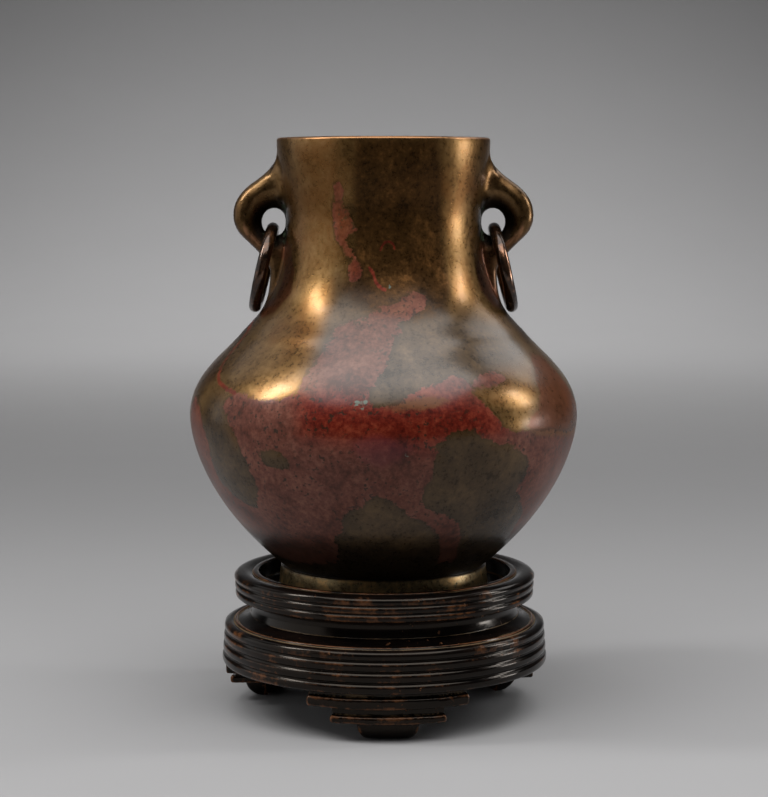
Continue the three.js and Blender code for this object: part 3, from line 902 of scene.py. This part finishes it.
class Wire:
    """One output of a node. Sums, products and the like of wires add the nodes for them."""

    def __init__(self, finish, socket):
        self.finish, self.socket = finish, socket

    def _with(self, operation, first, second):
        kind = "ShaderNodeVectorMath" if self.socket.type == "VECTOR" else "ShaderNodeMath"
        return self.finish.node(kind, {"operation": operation}, (first, second))

    def __add__(self, other):
        return self._with("ADD", self, other)

    def __sub__(self, other):
        return self._with("SUBTRACT", self, other)

    def __rsub__(self, other):
        return self._with("SUBTRACT", other, self)

    def __mul__(self, other):
        return self._with("MULTIPLY", self, other)

    def most(self, other):
        return self._with("MAXIMUM", self, other)

    __radd__, __rmul__ = __add__, __mul__

    def above(self, low, high):
        """0 below the low value, 1 above the high one, and smooth between them."""
        settings = {"interpolation_type": "SMOOTHSTEP"}
        return self.finish.node("ShaderNodeMapRange", settings, (self, low, high, 0.0, 1.0))


class Finish:
    """A material in the making, with the few words that add its nodes."""

    def __init__(self, name):
        self.material = bpy.data.materials.new(name)
        self.material.use_nodes = True
        self.tree = self.material.node_tree
        self.tree.nodes.clear()
        self.place = self.node("ShaderNodeTexCoord", {}, (), "Object")

    def node(self, kind, settings, inputs, output=0):
        made = self.tree.nodes.new(kind)
        for key, value in settings.items():
            if key == "stops":
                self.set_stops(made.color_ramp, value)
            else:
                setattr(made, key, value)
        pairs = inputs.items() if isinstance(inputs, dict) else enumerate(inputs)
        for key, value in pairs:
            if isinstance(value, Wire):
                self.tree.links.new(value.socket, made.inputs[key])
            else:
                made.inputs[key].default_value = value
        return Wire(self, made.outputs[output])

    def set_stops(self, ramp, stops):
        while len(ramp.elements) < len(stops):
            ramp.elements.new(0.5)
        for element, (position, colour) in zip(ramp.elements, stops):
            element.position, element.color = position, (*colour, 1)

    def told(self, name):
        settings = {"attribute_name": name, "attribute_type": "GEOMETRY"}
        return self.node("ShaderNodeAttribute", settings, (), "Fac")

    def cloud(self, size, detail=3.0, rough=0.55, warp=0.0, stretch=None):
        """Noise whose blotches are about the given size, in millimetres."""
        place = self.place * stretch if stretch else self.place
        values = {"Vector": place, "Scale": 0.5 / (size * MM), "Detail": detail}
        values.update({"Roughness": rough, "Distortion": warp})
        return self.node("ShaderNodeTexNoise", {"noise_dimensions": "3D"}, values, "Fac")

    def ramp(self, factor, places, colours):
        """Colours at places along a factor that runs from 0 to 1."""
        stops = list(zip(places, colours))
        return self.node("ShaderNodeValToRGB", {"stops": stops}, (factor,), "Color")

    def over(self, base, *layers):
        """A colour with others laid over it in turn, each as much as its amount says."""
        for amount, layer in layers:
            inputs = {0: amount, 6: colour(base), 7: colour(layer)}
            base = self.node("ShaderNodeMix", {"data_type": "RGBA", "blend_type": "MIX"}, inputs, 2)
        return base

    def mixed(self, base, *layers):
        """The same for single numbers."""
        for amount, layer in layers:
            inputs = {0: amount, 2: base, 3: layer}
            base = self.node("ShaderNodeMix", {"data_type": "FLOAT"}, inputs, 0)
        return base

    def bump(self, height, depth, strength):
        values = {"Strength": strength, "Distance": depth * MM, "Height": height}
        return self.node("ShaderNodeBump", {}, values, "Normal")

    def done(self, base, roughness, metallic, normal, **numbers):
        values = {"Base Color": base, "Roughness": roughness, "Metallic": metallic}
        values.update({"Normal": normal, **numbers})
        surface = self.node("ShaderNodeBsdfPrincipled", {}, values, "BSDF")
        end = self.tree.nodes.new("ShaderNodeOutputMaterial")
        self.tree.links.new(surface.socket, end.inputs["Surface"])
        return self.material


def colour(value):
    return (*value, 1.0) if isinstance(value, tuple) and len(value) == 3 else value


# Colours of the bare bronze, its patinas and the stand's lacquer. Sets run from dark to light.
BRONZE = (0.115, 0.058, 0.017), (0.190, 0.101, 0.032), (0.290, 0.170, 0.065)
BRONZE_ORANGE, STAIN_BROWN = (0.180, 0.072, 0.018), (0.120, 0.050, 0.017)
# Painted dark of the neck: the dark front mirrored on its middle, and shade below each loop
PAINTED_DARK_NECK = (0.022, 0.010, 0.003), (0.074, 0.033, 0.009), (0.200, 0.086, 0.024)
LOOP = (0.038, 0.021, 0.009), (0.130, 0.074, 0.030)
FLANK = (0.060, 0.022, 0.009), (0.150, 0.045, 0.018)
# Painted shade with dark corrosion round the loop holes, and painted shade with the stand's dark
# reflection under the belly
HOLE_SHADE_AND_CORROSION, PAINTED_UNDERSIDE_SHADE = (0.006, 0.005, 0.004), (0.004, 0.003, 0.002)
INSIDE_DARK = (0.020, 0.014, 0.009)
PATINA_DARK, PATINA_WARM = (0.018, 0.011, 0.005), (0.098, 0.056, 0.021)
PATINA = PATINA_DARK, (0.050, 0.029, 0.012), PATINA_WARM
RED = (0.036, 0.003, 0.001), (0.108, 0.009, 0.003), (0.200, 0.033, 0.013)
MAROON = (0.050, 0.014, 0.007), (0.105, 0.029, 0.016), (0.170, 0.060, 0.036)
PURPLE = (0.105, 0.014, 0.022)
VERDIGRIS, VERDIGRIS_PALE = (0.045, 0.070, 0.040), (0.115, 0.140, 0.110)
COPPER = (0.420, 0.200, 0.105)
FOOT = PATINA_WARM, (0.160, 0.120, 0.060), (0.420, 0.240, 0.090)
RING = (0.018, 0.010, 0.006), (0.070, 0.034, 0.017), (0.240, 0.105, 0.050)
LACQUER = (0.0020, 0.0016, 0.0016), (0.0075, 0.0042, 0.0030)
BARE_WOOD, DUST = (0.150, 0.058, 0.022), (0.200, 0.130, 0.065)
LACQUER_SHEEN = (1.0, 0.86, 0.72, 1.0)


def patinated_bronze():
    f = Finish("patinated_bronze")
    wide, mottle = f.cloud(34, 2.0), f.cloud(8, 6.0, 0.62, 0.4)
    grain, fine = f.cloud(1.3, 5.0, 0.7), f.cloud(0.55, 2.0)
    blotch, speckle = mottle - 0.5, grain - 0.5
    ragged = blotch * 7.0 + speckle * 5.0 + (fine - 0.5) * 1.6
    inside, height = f.told("inside"), f.told("height")
    loop, on_loop = f.told("loop_depth"), f.told("on_loop")

    # Where each layer lies
    thin = f.told("thin_depth").above(-7, 6)
    red_edge = f.told("red_depth") + ragged
    red = (red_edge - thin * (f.cloud(5, 5.0, 0.7) - 0.47) * 22).above(-0.4, 0.4)
    rim = red_edge.above(-1.8, -0.3) * (1 - red)
    side = f.told("vein_side") + blotch * 3.0
    vein = (f.told("vein_reach") - side.most(side * -1) + speckle * 2.5).above(-0.3, 0.3)
    red = (red * (1 - thin * 0.3)).most(vein * 0.9)
    dark = (f.told("dark_depth") + ragged * 1.3).above(-10, 7)
    rust = f.cloud(14, 6.0, 0.62).above(0.44, 0.68) * 0.6
    brown = (f.told("brown_stain") + blotch * 8 + speckle * 5).above(-1.5, 1.5)
    # Painted dark on the neck: its middle mirrors the dark front, and shade falls below each loop
    neck_dark = (f.told("neck_dark") + blotch * 10 + speckle * 6).above(-3, 6)
    # Red painted more vivid along the belly's middle, where it mirrors only the dark front, and
    # truly vivid along the neck streak
    vivid_streak_and_painted_band = (f.told("vivid_depth") + (wide - 0.5) * 14 + blotch * 8).above(-11, 5)
    purple = (f.told("purple_stain") + blotch * 10).above(-3, 3) * 0.4
    pits = f.cloud(1.0, 2.0).above(0.58, 0.66) * f.cloud(9, 2.0).above(0.36, 0.58)
    # Painted shade with dark corrosion round each loop hole
    hole_shade_and_corrosion = (loop + blotch * 0.7).above(0.12, 0.62) * 0.92
    green = f.told("crevice") * 0.5 + loop * 0.65 + blotch * 2.6 + speckle * 1.2
    green = green.above(0.80, 1.0) * loop.above(0.1, 0.4) * (1 - inside) * 0.8
    specks = (f.told("speck_depth") + speckle * 5.0).above(-0.2, 0.3)
    lip = (height + blotch * 2.0).above(VASE_HEIGHT - 1.6, VASE_HEIGHT - 0.5)
    worn = (f.told("edge") + blotch * 1.2).above(0.7, 1.1) * on_loop
    foot_ring = (1 - height.above(FOOT_HEIGHT - 1.0, FOOT_HEIGHT + 0.5)) * (1 - inside)
    # Painted shade under the belly: the dark reflection of the stand's tray, darker towards the
    # foot, with less coat there
    shade = 1 - (height + blotch * 4).above(FOOT_HEIGHT + 17, FOOT_HEIGHT + 30)

    tone = wide * 0.42 + mottle * 0.5 + grain * 0.44 + fine * 0.14
    neck_tone = tone - (1 - height.above(152, 176)) * 0.13
    red_tone = f.cloud(12, 3.0) * 0.45 + mottle * 0.45 + grain * 0.70
    cuprite = f.over(
        f.ramp(red_tone, (0.66, 0.80, 0.98), MAROON),
        # vivid red: painted along the belly's middle, real on the neck streak and the veins
        (vivid_streak_and_painted_band.most(vein), f.ramp(red_tone, (0.66, 0.80, 0.98), RED)),
        (purple, PURPLE),
        (brown * 0.8, STAIN_BROWN),
        (pits * 0.85, PATINA_DARK),
    )
    body = f.over(
        f.ramp(tone, (0.60, 0.75, 0.92), BRONZE),
        (rust, BRONZE_ORANGE),
        (dark, f.ramp(tone, (0.60, 0.76, 0.92), PATINA)),
        # painted dark reflection and shade on the neck
        (neck_dark * 0.93, f.ramp(neck_tone, (0.62, 0.78, 0.92), PAINTED_DARK_NECK)),
        (brown * 0.85, f.ramp(tone, (0.60, 0.90), FLANK)),
        (rim * 0.45, PATINA_DARK),
        (on_loop * 0.7, f.ramp(tone, (0.64, 0.88), LOOP)),
        (red, cuprite),
        # painted shade with corrosion round the loop holes
        (hole_shade_and_corrosion, HOLE_SHADE_AND_CORROSION),
        (green, f.ramp(grain, (0.35, 0.6), (PATINA_DARK, VERDIGRIS))),
        (specks, VERDIGRIS_PALE),
        (lip * 0.42, COPPER),
        (worn * 0.5, COPPER),
        # painted shade under the belly
        (shade * 0.8, PAINTED_UNDERSIDE_SHADE),
        (foot_ring, f.ramp(mottle * 0.7 + grain * 0.5, (0.46, 0.58, 0.76), FOOT)),
        (inside * 0.85, INSIDE_DARK),
    )

    cover = red.most(green).most(specks)
    metal = f.mixed(0.92, (dark, 0.25), (neck_dark * 0.5, 0.45), (cover, 0.05))
    metal = f.mixed(metal, (foot_ring, 0.85), (inside, 0.2))
    rough = 0.30 + speckle * 0.30 + blotch * 0.10
    rough = f.mixed(rough, (cover, rough + 0.10), (green.most(inside), 0.75))
    relief = fine * 0.2 + grain * 0.5 + mottle * 0.6 - pits * 0.5
    shoulder = height.above(103, 118) * (1 - height.above(122, 164) * 0.85)
    low = 1 - height.above(88, 112)
    film = 0.17 - height.above(138, 158) * 0.10 + shoulder * 0.56 + low * 0.10
    film = film + speckle * 0.35 + blotch * 0.5
    coat = f.mixed(
        film * 0.75,
        (dark.most(red), film),
        ((neck_dark * 0.9).most(brown * 0.6), 0.03),
        (green.most(inside).most(shade * 0.7), 0.0),
    )
    gloss = {"Coat Weight": coat, "Coat Roughness": 0.20, "Coat IOR": 1.5}
    gloss["Specular IOR Level"] = 0.15
    return f.done(body, rough, metal, f.bump(relief, 0.10, 0.55), **gloss)


def dark_ring_bronze():
    f = Finish("dark_ring_bronze")
    mottle, grain = f.cloud(5, 4.0, 0.6), f.cloud(1.2, 3.0)
    dark = f.ramp(mottle * 0.7 + grain * 0.4, (0.48, 0.64, 0.85), RING)
    worn = (f.told("worn") + (mottle - 0.5) * 1.8).above(0.55, 1.05)
    body = f.over(dark, (worn * 0.5, COPPER))
    rough = 0.23 + (grain - 0.5) * 0.25
    relief = grain * 0.6 + mottle * 0.8
    gloss = {"Coat Weight": 0.5, "Coat Roughness": 0.12, "Coat IOR": 1.5}
    return f.done(body, rough, 0.9, f.bump(relief, 0.12, 0.6), **gloss)


def dark_lacquered_wood():
    f = Finish("dark_lacquered_wood")
    mottle, grain = f.cloud(9, 5.0, 0.6), f.cloud(1.6, 4.0, 0.6)
    turned = f.cloud(1.1, 3.0, 0.6, stretch=(0.14, 0.14, 1.0))
    blotch = mottle - 0.5
    # Lighter bare wood on every crest: wear, made stronger to stand in for the reeds' warm
    # highlights, so partly a painted highlight
    worn = (f.told("edge") + blotch * 2.2 + (grain - 0.5) * 1.2).above(0.48, 1.05)
    chips = f.cloud(2.2, 3.0, 0.65).above(0.66, 0.70) * f.cloud(14, 2.0).above(0.48, 0.60)
    dust = (f.told("crevice") * 1.2 + blotch * 2.0).above(0.75, 1.15) * 0.6
    lacquer = f.ramp(mottle * 0.6 + turned * 0.5, (0.45, 0.70), LACQUER)
    body = f.over(lacquer, (worn * 0.7, BARE_WOOD), (chips * 0.7, BARE_WOOD), (dust, DUST))
    rough = 0.17 + blotch * 0.22 + (turned - 0.5) * 0.12
    rough = f.mixed(rough, (dust.most(chips), 0.65))
    relief = turned * 0.35 + grain * 0.4 + mottle * 0.5 - chips * 0.6
    gloss = {"Specular IOR Level": 0.21, "Specular Tint": LACQUER_SHEEN}
    return f.done(body, rough, 0.0, f.bump(relief, 0.10, 0.6), **gloss)


def plain_grey(name, shade, rough):
    f = Finish(name)
    dark, light = (tuple(min(1.0, c * share) for c in shade) for share in (0.985, 1.015))
    body = f.over(dark, (f.cloud(60, 3.0), light))
    return f.done(body, rough, 0.0, f.bump(f.cloud(2.0), 0.05, 0.1))


# The studio, in metres
FLOOR_SHADE = (0.316, 0.312, 0.315)
FLOOR_FRONT, WALL_AT, WALL_BEND, WALL_TOP, STAGE_HALF_WIDTH = -4.5, 4.2, 1.8, 4.5, 5.0


def make_stage():
    """A pale floor that curves up into a plain wall far behind the vase."""
    line = [(FLOOR_FRONT, 0.0), (0.0, 0.0)]
    for a in (math.pi / 2 * k / 12 for k in range(13)):
        line.append((WALL_AT + WALL_BEND * (math.sin(a) - 1), WALL_BEND * (1 - math.cos(a))))
    line.append((WALL_AT, WALL_TOP))
    points = [(x, y, z) for y, z in line for x in (-STAGE_HALF_WIDTH, STAGE_HALF_WIDTH)]
    faces = [(2 * k, 2 * k + 1, 2 * k + 3, 2 * k + 2) for k in range(len(line) - 1)]
    floor = mesh_piece("studio_floor", points, faces, 1)
    floor.data.materials.append(plain_grey("studio_paper", FLOOR_SHADE, 0.7))


def softbox(name, place, aim, width, height, radiance, spread=180):
    """A rectangular soft light of even brightness, turned towards a point."""
    light = bpy.data.lights.new(name, "AREA")
    light.shape, light.size, light.size_y = "RECTANGLE", width, height
    light.energy = radiance * width * height * math.pi
    light.spread = math.radians(spread)
    lamp = placed(name, light)
    lamp.location = place
    lamp.rotation_mode = "QUATERNION"
    lamp.rotation_quaternion = (Vector(aim) - Vector(place)).to_track_quat("-Z", "Y")
    lamp.visible_camera = False


def black_card(name, low, high, y):
    """An upright card that keeps the front of the vase from mirroring the pale floor."""
    (left, bottom), (right, top) = low, high
    ends = [(left, y, bottom), (right, y, bottom), (right, y, top), (left, y, top)]
    card = mesh_piece(name, ends, [(0, 1, 2, 3)], 1)
    card.visible_camera = card.visible_shadow = False
    card.data.materials.append(plain_grey("black_paper", (0.012, 0.012, 0.012), 0.9))


def make_lights():
    middle = (0, 0, 0.2)
    softbox("overhead_light", (0, -0.45, 1.10), (0, -0.40, 0.0), 1.5, 1.0, 4.1)
    softbox("left_light", (-0.97, -0.13, 0.99), middle, 0.19, 0.44, 23.0)
    softbox("right_light", (1.10, 0.10, 0.73), middle, 0.14, 0.36, 20.0)
    softbox("right_low_light", (1.16, 0.12, 0.42), middle, 0.10, 0.12, 6.0)
    softbox("left_side", (-2.4, -0.25, 0.7), middle, 3.4, 1.6, 0.72)
    softbox("right_side", (2.4, 0.20, 0.18), middle, 0.6, 0.36, 13.0)
    softbox("left_back_light", (-1.15, 1.0, 1.45), middle, 0.9, 0.9, 0.35)
    softbox("right_back_light", (1.15, 1.0, 1.45), middle, 0.9, 0.9, 1.9)
    softbox("back_floor_light", (0, 2.3, 1.8), (0, 2.6, 0.0), 2.0, 0.8, 3.5, 110)
    softbox("wall_light", (0, 2.6, 2.4), (0, 4.2, 0.5), 2.2, 0.6, 2.1)
    black_card("front_card", (-1.0, 0.0), (1.5, 0.52), -0.80)
    world = bpy.data.worlds.new("studio_air")
    world.use_nodes = True
    air = world.node_tree.nodes["Background"].inputs
    air["Color"].default_value, air["Strength"].default_value = (1, 1, 1, 1), 0.02
    bpy.context.scene.world = world


def make_camera():
    data = bpy.data.cameras.new("camera")
    data.sensor_width = SENSOR
    data.lens = FOCAL_PIXELS * SENSOR / max(PICTURE_WIDTH, PICTURE_HEIGHT)
    camera = placed("camera", data)
    camera.location = CAMERA_PLACE
    camera.rotation_euler = (math.pi / 2 - CAMERA_DIP, 0, 0)
    bpy.context.scene.camera = camera


def settle(piece, node, body, material):
    piece.data.materials.clear()
    piece.data.materials.append(material)
    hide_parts(node)
    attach(piece, body)


def dress():
    vase = make_vase()
    mark_vase(vase)
    settle(vase, "vase", "vase_and_stand", patinated_bronze())
    stand = make_stand()
    tell_edges(stand, 1, 2.2)
    settle(stand, "stand", "vase_and_stand", dark_lacquered_wood())
    wire_finish = dark_ring_bronze()
    for side in ("left", "right"):
        ring = make_ring(f"{side}_loose_ring", f"{side}_ring", f"{side}_ring_swing")
        tell(ring, "worn", 0.5 + 0.5 * unevenness(vertices(ring), 14))
        settle(ring, f"{side}_ring", f"{side}_ring_body", wire_finish)


make_camera()
make_stage()
make_lights()
dress()
bpy.context.scene.view_settings.view_transform = "Standard"
